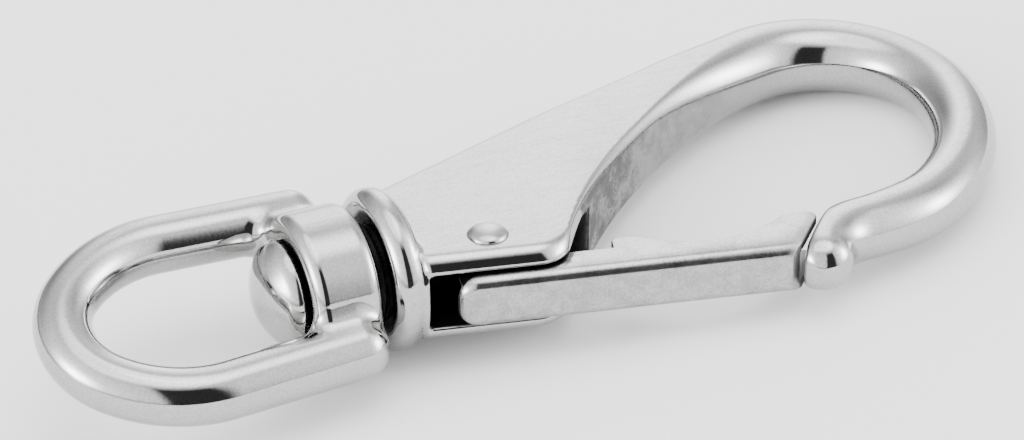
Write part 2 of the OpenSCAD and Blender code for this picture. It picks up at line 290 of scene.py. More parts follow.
def cast(obj, field, voxel, cap=0.5):
    """The rough shape is remeshed evenly, laid on the field's surface and shaded by the field.

    No point moves further than cap in one pass."""
    only(obj)
    modify(obj, "REMESH", mode="VOXEL", voxel_size=voxel * MM, adaptivity=0.0)
    points = points_of(obj) / MM
    for _ in range(LAYING_PASSES):
        height, grad = field(points)
        points = points - np.clip(height, -cap, cap)[:, None] * grad
    obj.data.vertices.foreach_set("co", (points * MM).ravel())
    obj.data.update()
    only(obj)
    bpy.ops.object.shade_smooth()
    _, grad = field(points)
    obj.data.normals_split_custom_set_from_vertices([tuple(g) for g in grad])
    return obj


# ---- swivel eye: a round rod bent to an eye, flowing into a bored hub ----

crown_half = math.degrees(math.acos((EYE_SIDE_R - EYE_HALF_W) / (EYE_SIDE_R - EYE_CROWN_R)))
eye_legs = [(EYE_CROWN_R, -crown_half), (EYE_SIDE_R, -(90 + LEG_TAPER - crown_half))]
eye_far = float(eye_low[0]) + ROD_R
bow_end = chain((eye_far, 0), 90, eye_legs, 1)[-1][2]
eye_legs.append(((LEG_TIP_X - bow_end[0]) / math.cos(math.radians(LEG_TAPER)), 0))

turn = Matrix.Rotation(math.radians(EYE_TURN), 3, "X")
half = np.array([[p[0], p[1], 0] for _, _, p, _ in chain((eye_far, 0), 90, eye_legs, 0.5)])
eye_path = np.concatenate([half[:0:-1] * [1, -1, 1], half]) @ np.array(turn).T


def bent_rod(points):
    """The eye's rod on its true arcs: the same on both sides of its middle plane."""
    local = points @ np.array(turn)
    mirror = np.where(local[:, 1] < 0, -1.0, 1.0)
    flat = np.stack([local[:, 0], np.abs(local[:, 1])], 1)
    place, heading = np.array([eye_far, 0.0]), 90
    best = np.full(len(points), 1e9)
    near = np.zeros_like(flat)
    for leg in eye_legs:
        if leg[1] == 0:
            way = unit(heading)
            at = place + np.clip((flat - place) @ way, 0, leg[0])[:, None] * way
        else:
            centre = place - leg[0] * left(heading)
            away = np.degrees(np.arctan2(flat[:, 1] - centre[1], flat[:, 0] - centre[0])) - (heading + 90)
            turned_by = np.clip((away + 180) % 360 - 180, leg[1], 0)
            a = np.radians(heading + 90 + turned_by)
            at = centre + leg[0] * np.stack([np.cos(a), np.sin(a)], 1)
        dist = np.hypot(*(flat - at).T)
        closer = dist < best
        best = np.where(closer, dist, best)
        near = np.where(closer[:, None], at, near)
        place, heading = along(place, heading, leg, 1)
    away = np.stack([flat[:, 0] - near[:, 0], (flat[:, 1] - near[:, 1]) * mirror, local[:, 2]], 1)
    dist = lengths(away)
    return dist - ROD_R, (away / dist[:, None]) @ np.array(turn).T


def eye_field(points):
    """The finished eye: its rod and hub as one, less the bore."""
    hub = disc(points, HUB_BACK - HUB_LEN, HUB_BACK, HUB_R, HUB_ROUND)
    bore = disc(points, HUB_BACK - HUB_LEN - PAST, HUB_BACK + PAST, BORE_R, 0.1)
    return cut(union(bent_rod(points), hub, 2.0), bore, 0.3)


def tube(name, path, radius, sides):
    """Round tube along a flat path, closed by a ball at each end."""
    rings = []
    last = len(path) - 1
    for i, p in enumerate(path):
        t = path[min(i + 1, last)] - path[max(i - 1, 0)]
        t = t / np.linalg.norm(t)
        side = np.cross(np.array(turn) @ [0, 0, 1], t)
        up = np.cross(t, side)
        a = np.arange(sides) * 2 * math.pi / sides
        ring = np.cos(a)[:, None] * side + np.sin(a)[:, None] * up
        tips = [-75, -50, -25, 0] if i == 0 else [0, 25, 50, 75] if i == last else [0]
        for b in tips:
            b = math.radians(b)
            rings.append(p + radius * (math.sin(b) * t + math.cos(b) * ring))
    return skin(name, rings)


def on_shank(name, x0, x1, radius, sides=96):
    """Plain round bar on the shank's axis."""
    return add("cylinder", name, vertices=sides, radius=radius * MM, depth=(x1 - x0) * MM,
               location=((x0 + x1) / 2 * MM, 0, 0), rotation=(0, math.pi / 2, 0))


# The round blanks are this much thinner than the finished rounds
BLANK_UNDER = 0.3

eye = tube("eye_casting", eye_path, ROD_R, 40)
boolean(eye, on_shank("hub_blank", HUB_BACK - HUB_LEN, HUB_BACK, HUB_R - BLANK_UNDER), "UNION")
boolean(eye, on_shank("bore_tool", HUB_BACK - HUB_LEN - 5, HUB_BACK + 5, BORE_R), "DIFFERENCE")
cast(eye, eye_field, voxel=0.2)

# ---- hook body: one casting, swept along its inner edge ----

CHEEK_HEADING = -14
CHEEK_ROUND = 3.6
lip_slope = math.radians(-CHEEK_HEADING)
sink = 0.4
body_start = (COLLAR_BACK - sink, -7.65 + sink * math.tan(lip_slope))
body_legs = [
    (10 + sink / math.cos(lip_slope), 0),
    (CHEEK_ROUND, 69.4),
    (69.4, -17.9),
    (45.7, -26.6),
    (9, -107.8),
    (18.7, -50.6),
    (10.6, -18.4),
    (22.5, -13.2),
    (9.7, 59.8),
]
# The first legs have the web behind them. back_share is how far along the spine each of them begins
WEB_LEGS = 4
back_share = [0, 0.22, 0.42, 0.78, 1]
lip_half = SLOT_HALF + 0.15
bow_top, bow_end_r, nose_r = 3.7, 2.95, 2.75
# Half thickness, half height of the flat on the inner edge, and share of a full round
body_sections = np.array([
    (HALF_T, lip_half, 0.53),
    (HALF_T, lip_half, 0.53),
    (HALF_T, lip_half, 0.55),
    (mix(bow_top, HALF_T, 0.1), lip_half, 0.88),
    (bow_top, 0.7, 1),
    (mix(bow_end_r, bow_top, 0.2), 0.7, 1),
    (bow_end_r, 0.6, 1),
    (bow_end_r + 0.05, 0.6, 1),
    (bow_end_r - 0.05, 0.6, 1),
    (nose_r, 0.6, 1),
])
CREST = 0.3
BACK_ROUND = 2.0


def flat_side(r, h):
    """How far from a round's middle a flat of half height h lies."""
    return math.sqrt(r * r - h * h)


def bow_width(half, flat):
    """How wide the bow's section is, from its inner flat to its crest."""
    return flat_side(half, flat) + half + CREST


def section(p, out, half, flat, share, round_w, steps=18):
    """One closed section of the body, from p on its inner edge to out on its outer edge."""
    wide = np.linalg.norm(out - p)
    direction = (out - p) / wide
    low = math.asin(flat / half)
    front = [(share * (flat_side(half, flat) - half * math.cos(a)), half * math.sin(a))
             for a in np.linspace(low, math.pi / 2, steps)]
    back = [(wide - round_w * (1 - math.cos(a)), half * math.sin(a))
            for a in np.linspace(math.pi / 2, 0, steps)]
    top = front + back
    ring = top + [(s, -z) for s, z in top[-2::-1]]
    return np.array([[*(p + s * direction), z] for s, z in ring])


body_chain = chain(body_start, CHEEK_HEADING, body_legs, 0.5)
back_from = np.array([body_start[0], 7.35])
web_end = next((p, a) for n, f, p, a in body_chain if n == WEB_LEGS)
back_to = web_end[0] + bow_width(*body_sections[WEB_LEGS][:2]) * left(web_end[1])

body_rings = []
for n, f, p, a in body_chain:
    s = mix(body_sections[n], body_sections[n + 1], ease(f))
    g = mix(back_share[n], back_share[n + 1], f) if n < WEB_LEGS else 1
    out = mix(back_from, back_to, g) if n < WEB_LEGS else p + bow_width(s[0], s[1]) * left(a)
    body_rings.append(section(p, out, *s, mix(BACK_ROUND, s[0], g * g)))
nose, nose_heading = body_chain[-1][2:]
for a in (12, 24, 36, 48, 60, 70, 79, 85):
    s = body_sections[-1]
    c = math.cos(math.radians(a))
    wide = bow_width(s[0], s[1])
    p = nose + s[0] * math.sin(math.radians(a)) * unit(nose_heading) + wide / 2 * (1 - c) * left(nose_heading)
    body_rings.append(section(p, p + wide * c * left(nose_heading), s[0] * c, s[1] * c, c, s[0] * c))
body = skin("hook_casting", body_rings)

# The swept skin as a field: the nearest point on its triangles, with their normals blended
only(body)
body.data.calc_loop_triangles()
skin_points = points_of(body) / MM
skin_tris = np.array([t.vertices for t in body.data.loop_triangles])
skin_normals = np.array([v.normal for v in body.data.vertices])
skin_tree = BVHTree.FromPolygons([tuple(p) for p in skin_points], [tuple(t) for t in skin_tris.tolist()])


def swept(points):
    hits = [skin_tree.find_nearest(tuple(p)) for p in points]
    at = np.array([h[0] for h in hits])
    tri = skin_tris[[h[2] for h in hits]]
    a, b, c = (skin_points[tri[:, i]] for i in range(3))
    v0, v1, v2 = b - a, c - a, at - a
    d00, d01, d11 = (v0 * v0).sum(1), (v0 * v1).sum(1), (v1 * v1).sum(1)
    d20, d21 = (v2 * v0).sum(1), (v2 * v1).sum(1)
    det = np.maximum(d00 * d11 - d01 * d01, 1e-12)
    v, w = (d11 * d20 - d01 * d21) / det, (d00 * d21 - d01 * d20) / det
    normal = ((1 - v - w)[:, None] * skin_normals[tri[:, 0]] + v[:, None] * skin_normals[tri[:, 1]]
              + w[:, None] * skin_normals[tri[:, 2]])
    normal = normal / lengths(normal)[:, None]
    return ((points - at) * normal).sum(1), normal


corner_start = along(np.array(body_start), CHEEK_HEADING, body_legs[0], 1)[0]
corner_end = along(corner_start, CHEEK_HEADING, body_legs[1], 1)[0]
out_x = corner_end[0] + CHEEK_ROUND
floor_y = PIN[1] + FLOOR_AWAY
slope = math.tan(math.radians(FLOOR_SLOPE))
floor_bend = PIN[:2] + FLOOR_AWAY * unit(90 - FLOOR_SLOPE)
CHAMFER = 1.2
LIP_ROUND = 0.8


def channel(points):
    """The slot between the cheeks: a floor, a sloping floor, two walls and the collar's face."""
    inside = plane(points, (COLLAR_BACK, 0, 0), (-1, 0, 0))
    for place, normal in (
        ((COLLAR_BACK, floor_y - CHAMFER, 0), (-1, 1, 0)),
        ((0, floor_y, 0), (0, 1, 0)),
        ((*floor_bend, 0), (slope, 1, 0)),
        ((0, 0, SLOT_HALF), (0, 0, 1)),
        ((0, 0, -SLOT_HALF), (0, 0, -1)),
        ((out_x, 0, 0), (1, 0, 0)),
    ):
        inside = common(inside, plane(points, place, normal), 0.2)
    return inside


gate_turn = np.array(Matrix.Rotation(math.radians(-GATE_ANGLE), 3, "Z"))
TIP_SLOPE = 30.4
GATE_FRONT, GATE_DROP, GATE_BACK = 27.5, 5.0, 3.6
FLANGE_LEAD = 0.6
NOSE_GAP = 0.3


def flange_end(v):
    """Where the flange ends, along the gate, at the height v over the pin."""
    return GATE_FRONT + FLANGE_LEAD + (v + GATE_DROP) * math.tan(math.radians(TIP_SLOPE))


def on_gate(u, v):
    """A place on the gate, from u along it and v across it, both from the pin."""
    return gate_turn @ np.array([u, v, 0]) + PIN * [1, 1, 0]


flat_normal = gate_turn @ [math.cos(math.radians(TIP_SLOPE)), -math.sin(math.radians(TIP_SLOPE)), 0]
end_place = on_gate(flange_end(0), 0)
flat_place = end_place + NOSE_GAP * flat_normal
NOSE_SLAB = 2


def nose_slab(points):
    """What is cut away where the nose has its flat, beside the gate's end."""
    return common(plane(points, flat_place, flat_normal),
                  plane(points, flat_place - NOSE_SLAB * flat_normal, -flat_normal), 0.1)


def hook_field(points):
    """The finished hook body: the swept body less its channel, with its turned end, flat and pin hole."""
    collar = disc(points, COLLAR_FRONT, COLLAR_BACK, COLLAR_R, COLLAR_ROUND)
    shoulder = disc(points, COLLAR_FRONT - SHOULDER_LEN, COLLAR_BACK - 1, SHOULDER_R, 0.15)
    shank = disc(points, HEAD_SEAT - 1, COLLAR_BACK - 1, SHANK_R, 0.1)
    head = common(ball(points, np.array([HEAD_APEX + HEAD_BALL_R, 0, 0]), HEAD_BALL_R),
                  disc(points, HEAD_APEX - 5, HEAD_SEAT, HEAD_R, 0.25), 0.7)
    turned_end = union(union(collar, shoulder, 0.2), union(shank, head, 0.2), 0.2)
    shape = cut(swept(points), channel(points), LIP_ROUND)
    shape = union(shape, turned_end, 0.6)
    near_nose = lengths(points - flat_place) < PAST
    flat = cut(shape, nose_slab(points), 0.5)
    shape = (np.where(near_nose, flat[0], shape[0]), np.where(near_nose[:, None], flat[1], shape[1]))
    return cut(shape, post(points, PIN, PIN_HOLE_R), 0.1)


def prism(name, outline, low, high):
    """An outline of plan points, extruded from one height to another."""
    n = len(outline)
    obj = from_data(name, [(x * MM, y * MM, low * MM) for x, y in outline], [tuple(range(n))])
    only(obj)
    bpy.ops.object.mode_set(mode="EDIT")
    bpy.ops.mesh.select_all(action="SELECT")
    bpy.ops.mesh.extrude_region_move(TRANSFORM_OT_translate={"value": (0, 0, (high - low) * MM)})
    bpy.ops.object.mode_set(mode="OBJECT")
    return outward(obj)


deep = corner_end[1] - 6
channel_tool = prism("channel_tool", [
    (COLLAR_BACK, deep),
    (COLLAR_BACK, floor_y - CHAMFER),
    (COLLAR_BACK + CHAMFER, floor_y),
    (PIN[0], floor_y),
    tuple(floor_bend),
    (out_x, floor_bend[1] - (out_x - floor_bend[0]) * slope),
    (out_x, deep),
], -SLOT_HALF, SLOT_HALF)
boolean(body, channel_tool, "DIFFERENCE")
slab = [flat_place + s * flat_normal + t * np.array([-flat_normal[1], flat_normal[0], 0])
        for s, t in ((0, -PAST), (0, PAST), (-NOSE_SLAB, PAST), (-NOSE_SLAB, -PAST))]
boolean(body, prism("nose_tool", [tuple(p[:2]) for p in slab], -PAST, PAST), "DIFFERENCE")
for name, x0, x1, radius in (
    ("collar_blank", COLLAR_FRONT + 0.15, COLLAR_BACK, COLLAR_R - BLANK_UNDER),
    ("shoulder_blank", COLLAR_FRONT - SHOULDER_LEN, COLLAR_BACK - 1, SHOULDER_R),
    ("shank_blank", HEAD_SEAT - 1.5, COLLAR_BACK - 1, SHANK_R),
    ("head_blank", HEAD_APEX + 1.6, HEAD_SEAT, HEAD_R - BLANK_UNDER),
):
    boolean(body, on_shank(name, x0, x1, radius), "UNION")
boolean(body, add("cylinder", "pin_tool", vertices=48, radius=PIN_HOLE_R * MM, depth=20 * MM,
                  location=tuple(PIN * MM)), "DIFFERENCE")
cast(body, hook_field, voxel=0.28)

# ---- gate: folded sheet with ears, teeth, a finger dip and rounded tips ----


def arc(centre, radius, a0, a1, steps):
    return [tuple(np.array(centre) + radius * unit(a)) for a in np.linspace(a0, a1, steps)]


def gate_outline():
    """Side view of the flanges, along the gate from the pin."""
    tip_r, tip_high, low = 0.95, 0.3, -1.5
    tip = (flange_end(tip_high) - tip_r / math.cos(math.radians(TIP_SLOPE)), tip_high)
    tooth = 11.4
    dip_r, dip_low = 11.0, 2.0
    dip = (mix(tooth, tip[0], 0.48), dip_r - dip_low)
    start = 270 - math.degrees(math.acos((dip_r - dip_low) / dip_r))
    tip_top = tip[1] + tip_r
    end = 270 + math.degrees(math.acos((dip[1] - tip_top) / dip_r))
    bend_v = -3.9
    outline = [(-GATE_BACK, -GATE_DROP), (GATE_FRONT, -GATE_DROP), (flange_end(bend_v), bend_v)]
    outline += arc(tip, tip_r, -TIP_SLOPE, 90, 12)
    outline += [p for p in arc(dip, dip_r, end, start, 40) if p[1] < tip_top - 0.01]
    outline += [(tooth + 0.9, 0.2), (tooth + 0.35, 0.1), (tooth + 0.08, -0.3), (tooth, low)]
    outline += arc((0, 0), EAR_R, math.degrees(math.asin(low / EAR_R)), 180, 36)
    outline += [(-GATE_BACK, -GATE_DROP + 1.2)]
    return outline


# Points this near, in metres, are one point
SAME = 1e-6


def merge(obj):
    only(obj)
    bpy.ops.object.mode_set(mode="EDIT")
    bpy.ops.mesh.select_all(action="SELECT")
    bpy.ops.mesh.remove_doubles(threshold=SAME)
    bpy.ops.object.mode_set(mode="OBJECT")


def edges_where(obj, test):
    """Edit mode, with only those edges selected whose two ends pass the test."""
    only(obj)
    bpy.ops.object.mode_set(mode="EDIT")
    bpy.ops.mesh.select_mode(type="EDGE")
    bpy.ops.mesh.select_all(action="DESELECT")
    bpy.ops.object.mode_set(mode="OBJECT")
    co = points_of(obj) / MM
    for edge in obj.data.edges:
        a, b = (co[i] for i in edge.vertices)
        edge.select = bool(test(a, b))
    bpy.ops.object.mode_set(mode="EDIT")


SHEET = 0.8
FOLD = 1.1
CORNER = 1.9
NEAR = 0.01
gate = prism("gate_sheet", gate_outline(), -GATE_HALF, GATE_HALF)
corner_u, corner_z = -GATE_BACK + CORNER, GATE_HALF - CORNER
for side in (1, -1):
    waste = arc((corner_u, corner_z), CORNER, 180, 90, 13)
    waste += [(corner_u, GATE_HALF + 1), (-GATE_BACK - 1, GATE_HALF + 1), (-GATE_BACK - 1, corner_z)]
    corner_tool = prism("corner_tool", [(u, side * z) for u, z in waste], -PAST, PAST)
    corner_tool.matrix_world = Matrix.Rotation(math.radians(90), 4, "X")
    only(corner_tool)
    bpy.ops.object.transform_apply(location=True, rotation=True, scale=True)
    boolean(gate, corner_tool, "DIFFERENCE")


def on_plan(a, b):
    """Whether an edge lies along the gate's outline as seen on its web, but not along its front end."""
    u, z = (a[0] + b[0]) / 2, abs(a[2] + b[2]) / 2
    if u < corner_u and z > corner_z:
        return math.hypot(u - corner_u, z - corner_z) > CORNER * 0.97
    return u < -GATE_BACK + NEAR or z > GATE_HALF - NEAR


edges_where(gate, lambda a, b: max(a[1], b[1]) < -GATE_DROP + NEAR and on_plan(a, b))
bpy.ops.mesh.bevel(offset=FOLD * MM, segments=8, affect="EDGES")
bpy.ops.object.mode_set(mode="OBJECT")
web_inside = -GATE_DROP + SHEET
inner = prism("fold_tool", [(-PAST, web_inside), (40, web_inside), (40, PAST), (-PAST, PAST)],
              -GATE_HALF + SHEET, GATE_HALF - SHEET)
edges_where(inner, lambda a, b: max(a[1], b[1]) < web_inside + NEAR and abs(a[0] - b[0]) > 1)
bpy.ops.mesh.bevel(offset=(FOLD - SHEET) * MM, segments=5, affect="EDGES")
bpy.ops.object.mode_set(mode="OBJECT")
boolean(gate, inner, "DIFFERENCE")
boolean(gate, add("cylinder", "ear_tool", vertices=64, radius=PIN_HOLE_R * MM, depth=20 * MM), "DIFFERENCE")

# Sharp edges are broken a little, but not at the rounded rear corners, where the facets are narrow
EDGE_BREAK = 0.1
sharpness = gate.data.attributes.new("bevel_weight_edge", "FLOAT", "EDGE")
co = points_of(gate) / MM
sides = {}
for face in gate.data.polygons:
    for key in face.edge_keys:
        sides.setdefault(key, []).append(face.normal)
for edge in gate.data.edges:
    normals = sides[edge.key]
    a, b = (co[i] for i in edge.vertices)
    at_corner = min(a[0], b[0]) < corner_u + 0.3 and max(abs(a[2]), abs(b[2])) > corner_z - 0.1
    if normals[0].angle(normals[1]) > math.radians(40) and not at_corner:
        sharpness.data[edge.index].value = 1
modify(gate, "BEVEL", width=EDGE_BREAK * MM, segments=3, limit_method="WEIGHT", use_clamp_overlap=False)
merge(gate)
gate.matrix_world = (Matrix.Translation(Vector(PIN * [1, 1, 0] * MM))
                     @ Matrix.Rotation(math.radians(-GATE_ANGLE), 4, "Z"))
only(gate)
bpy.ops.object.transform_apply(location=True, rotation=True, scale=True)
bpy.ops.object.shade_smooth_by_angle(angle=math.radians(35))

# ---- pin: a shaft with a low domed head on each cheek ----

pin = add("cylinder", "rivet_pin", vertices=64, radius=PIN_R * MM, depth=2 * HALF_T * MM,
          location=tuple(PIN * MM))
for side in (1, -1):
    head = add("uv_sphere", "rivet_head", segments=64, ring_count=64, radius=MM,
               location=(PIN[0] * MM, PIN[1] * MM, side * HALF_T * MM),
               scale=(PIN_HEAD_R, PIN_HEAD_R, PIN_HEAD_H))
    only(head)
    bpy.ops.object.mode_set(mode="EDIT")
    bpy.ops.mesh.select_all(action="SELECT")
    bpy.ops.mesh.bisect(plane_co=(0, 0, side * (HALF_T + 0.001) * MM), plane_no=(0, 0, side), use_fill=True,
                        clear_inner=True, threshold=SAME / 10)
    bpy.ops.object.mode_set(mode="OBJECT")
    only(head)
    pin.select_set(True)
    bpy.context.view_layer.objects.active = pin
    bpy.ops.object.join()
only(pin)
bpy.ops.object.shade_smooth_by_angle(angle=math.radians(40))

# ---- spring: wire wound round the pin, with one leg on the gate and one on the floor ----

WIRE_R = 0.25
SPRING_GAP = 0.05
COIL_R = PIN_R + 0.3 + WIRE_R
COIL_PITCH = 2 * WIRE_R + SPRING_GAP
# How far each leg's seat is from the pin's axis, how much the leg leans to reach it, and its length
gate_leg = (GATE_DROP - SHEET - SPRING_GAP - WIRE_R, 25, 10)
floor_leg = (FLOOR_AWAY - 2 * SPRING_GAP - WIRE_R, 12, 8)
COILS = 4
coil_from = -90 - gate_leg[1] - GATE_ANGLE
coil_turn = 360 * COILS + coil_from - 90 - floor_leg[1] + FLOOR_SLOPE
coil_half = coil_turn / 360 * COIL_PITCH / 2


def spring_leg(seat, lean, length):
    """Points from a leg's end to the coil: along its seat, round a small bend and up to the coil."""
    bend = 0.5
    lean_r = math.radians(lean)
    touch = (seat - COIL_R * math.cos(lean_r)) / math.tan(lean_r) - COIL_R * math.sin(lean_r)
    return [np.array([length, seat]), np.array([touch + bend, seat]),
            np.array([touch, seat]) - bend * unit(lean), COIL_R * left(lean)]


def turned(p, a):
    """The flat point p turned about the pin by a degrees."""
    return p[0] * unit(a) + p[1] * left(a)


wire = [(*turned(p * [1, -1], -GATE_ANGLE), coil_half) for p in spring_leg(*gate_leg)]
steps = math.ceil(coil_turn / 12)
wire += [(*(COIL_R * unit(coil_from - i / steps * coil_turn)), coil_half * (1 - 2 * i / steps))
         for i in range(1, steps)]
wire += [(*turned(p, -FLOOR_SLOPE), -coil_half) for p in spring_leg(*floor_leg)[::-1]]
wire_curve = bpy.data.curves.new("spring_wire", "CURVE")
wire_curve.dimensions = "3D"
wire_curve.bevel_depth = WIRE_R * MM
wire_curve.bevel_resolution = 4
wire_curve.use_fill_caps = True
spline = wire_curve.splines.new("POLY")
spline.points.add(len(wire) - 1)
for point, p in zip(spline.points, wire):
    point.co = (*((np.array(p) + PIN * [1, 1, 0]) * MM), 1)
spring = bpy.data.objects.new("spring_wire", wire_curve)
bpy.context.scene.collection.objects.link(spring)
only(spring)
bpy.ops.object.convert(target="MESH")
spring = bpy.context.object
merge(spring)
only(spring)
bpy.ops.object.shade_smooth()

# ---- shader maths ----


class Shade:
    """One socket of a node tree. Sums and products of sockets add Math nodes."""

    def __init__(self, tree, socket=None):
        self.tree = tree
        self.socket = socket

    def node(self, kind, inputs=(), out=0, **settings):
        made = self.tree.nodes.new("ShaderNode" + kind)
        for key, value in settings.items():
            if key == "stops":
                ramp = made.color_ramp
                for place, level in value[:-2]:
                    ramp.elements.new(place)
                for element, (place, level) in zip(ramp.elements, value):
                    element.position = place
                    element.color = (level, level, level, 1)
            else:
                setattr(made, key, value)
        for key, value in dict(inputs).items():
            if isinstance(value, Shade):
                self.tree.links.new(value.socket, made.inputs[key])
            else:
                made.inputs[key].default_value = value
        return Shade(self.tree, made.outputs[out] if made.outputs else None)

    def math(self, operation, a, b=None, c=None):
        sockets = {i: v for i, v in enumerate((a, b, c)) if v is not None}
        return self.node("Math", sockets, operation=operation)

    def __add__(self, other):
        return self.math("ADD", self, other)

    def __radd__(self, other):
        return self.math("ADD", other, self)

    def __sub__(self, other):
        return self.math("SUBTRACT", self, other)

    def __rsub__(self, other):
        return self.math("SUBTRACT", other, self)

    def __mul__(self, other):
        return self.math("MULTIPLY", self, other)

    def __rmul__(self, other):
        return self.math("MULTIPLY", other, self)

    def __truediv__(self, other):
        return self.math("DIVIDE", self, other)

    def rise(self, low, high):
        """From 0 at low to 1 at high, smoothly."""
        return self.node("MapRange", {"Value": self, "From Min": low, "From Max": high},
                         interpolation_type="SMOOTHSTEP")

    def fall(self, low, high):
        """From 1 at low to 0 at high, smoothly."""
        return 1 - self.rise(low, high)

    def both(self, other):
        return self.math("MINIMUM", self, other)

    def either(self, other):
        return self.math("MAXIMUM", self, other)

    def part(self, axis):
        return self.node("SeparateXYZ", {"Vector": self}, out=axis)

    def size(self):
        return self.math("ABSOLUTE", self)

    def blend(self, a, b):
        """The colour a where this is 0, and b where it is 1."""
        return self.node("Mix", {0: self, 6: a, 7: b}, out=2, data_type="RGBA")


def grey(level, warm=0.0):
    return (level * (1 + warm), level, level * (1 - warm), 1)


def new_material(name):
    material = bpy.data.materials.new(name)
    material.use_nodes = True
    material.node_tree.nodes.clear()
    tree = Shade(material.node_tree)
    return material, tree, tree.node("TexCoord", out=3)


def finish_material(tree, colour, roughness, normal, metallic=1.0):
    surface = tree.node("BsdfPrincipled", {"Base Color": colour, "Roughness": roughness, "Normal": normal,
                                           "Metallic": metallic})
    tree.node("OutputMaterial", {"Surface": surface})


def noise(tree, coords, scale, detail=3.0, rough=0.55):
    return tree.node("TexNoise", {"Vector": coords, "Scale": scale, "Detail": detail, "Roughness": rough})


def apart(tree, a, b):
    """The length of a step with sides a and b."""
    return tree.math("SQRT", a * a + b * b)


def reach(x, y, place, way):
    """How far a point lies from a place, measured along a flat direction."""
    return (x - float(place[0])) * float(way[0]) + (y - float(place[1])) * float(way[1])


def body_painted_shade(tree, x, y, z, facing):
    """Painted shade on the body: near black in the channel, on the collar's face, on the nose's flat and
    round the pin's heads; and on the throat wall, which is also rougher and mottled as a ground face.
    """
    out = apart(tree, y, z)
    in_channel = z.size().fall(SLOT_HALF + 0.04, SLOT_HALF + 0.18).both(y.fall(floor_y + 0.1, floor_y + 0.4))
    in_channel = in_channel.both(x.rise(COLLAR_BACK - 0.15, COLLAR_BACK)).both(x.fall(out_x + 1, out_x + 2.5))
    by_collar = x.rise(HEAD_SEAT - 0.3, HEAD_SEAT - 0.1).both(x.fall(COLLAR_FRONT + 0.05, COLLAR_FRONT + 0.3))
    by_collar = by_collar.both(out.fall(4.6, 5.2))
    near_flat = apart(tree, x - float(flat_place[0]), y - float(flat_place[1])).fall(4, 5)
    on_nose = reach(x, y, flat_place, flat_normal).size().fall(0.1, 0.4).both(near_flat)
    round_pin = apart(tree, x - float(PIN[0]), y - float(PIN[1])).fall(PIN_HEAD_R + 0.02, PIN_HEAD_R + 0.12)
    # Painted shade, near black and rougher: the channel, the gap by the collar, the nose's flat by the gate's
    # end and round the pin's heads
    painted_shade = in_channel.either(by_collar).either(on_nose).either(round_pin * 0.7)
    # Painted shade on the throat wall, which is also a rougher ground face: strongest from the cheek's corner
    # to x 50, fading out by x 84
    in_throat = facing.part(1).fall(-0.5, -0.3).both(facing.part(2).size().fall(0.3, 0.5))
    in_throat = in_throat.both(y.rise(-4.5, -3.5)) * x.rise(corner_end[0] - 2, corner_end[0])
    return painted_shade, in_throat * (0.45 + 0.55 * x.fall(50, 62)) * x.fall(62, 84)


def eye_painted_shade(tree, x, y, z, facing):
    """Painted shade on the eye: near black on the hub's faces by the collar and the head, and darker in the
    bore, which is also rougher.
    """
    out = apart(tree, y, z)
    front = HUB_BACK - HUB_LEN
    # Painted shade, near black: the hub's faces in the gaps by the collar and by the head
    by_collar = x.rise(HUB_BACK - 0.2, HUB_BACK - 0.05).both(out.fall(5.4, 6.1))
    by_head = x.fall(front + 0.05, front + 0.2).both(x.rise(front - 0.3, front - 0.05))
    by_head = by_head.both(out.fall(4.6, 5.0))
    # The bore: rougher, and darkened by painted shade
    in_bore = out.fall(SHANK_R + 0.15, SHANK_R + 0.4).both(x.rise(front - 0.5, front))
    return by_collar.either(by_head), in_bore


def cast_steel(name, crevices):
    """Polished casting: a mirror with a fine grain, satin on its flats, and painted shade in its crevices,
    throat and bore.
    """
    material, tree, coords = new_material(name)
    facing = tree.node("TexCoord", out=1)
    x, y, z = (coords.part(i) * 1000 for i in range(3))
    painted_shade, ground_and_shade = crevices(tree, x, y, z, facing)
    grain = noise(tree, coords, 2600, 3)
    waves = noise(tree, coords, 160, 2)
    wear = noise(tree, coords, 420, 4, 0.7)
    specks = noise(tree, coords, 4500, 2, 0.6).rise(0.32, 0.68)
    stroke = tree.node("Mapping", {"Vector": coords, "Rotation": (0, 0, 0.5), "Scale": (1, 5, 1)})
    scuffs = noise(tree, stroke, 300, 5, 0.75).rise(0.3, 0.7)
    mottle = wear.rise(0.35, 0.65)
    ground_and_shade = ground_and_shade * (0.5 + 0.7 * mottle + 0.5 * specks)
    flat = facing.part(2).size().rise(0.985, 0.999)
    roughness = 0.05 + 0.05 * wear + flat * (0.1 + 0.14 * scuffs) + painted_shade * 0.4
    roughness = roughness + ground_and_shade * (0.2 + 0.15 * mottle)
    polished = (0.4 * wear + 0.6 * specks).blend(grey(0.35, 0.006), grey(0.48, 0.006))
    satin = (0.6 * scuffs + 0.4 * specks).blend(grey(0.29, 0.008), grey(0.55, 0.006))
    # Colour of the throat wall and the bore: nearly black, painted shade over the ground finish's mottle
    rough = (0.6 * mottle + 0.4 * specks).blend(grey(0.01), grey(0.12))
    # Painted shade: near black in the crevices and gaps
    colour = painted_shade.blend(ground_and_shade.blend(flat.blend(polished, satin), rough), grey(0.012))
    height = grain * 0.5 + waves * 1.5 + flat * scuffs * 1.2
    bump = tree.node("Bump", {"Height": height, "Strength": 0.12, "Distance": 0.00004})
    finish_material(tree, colour, roughness, bump)
    return material


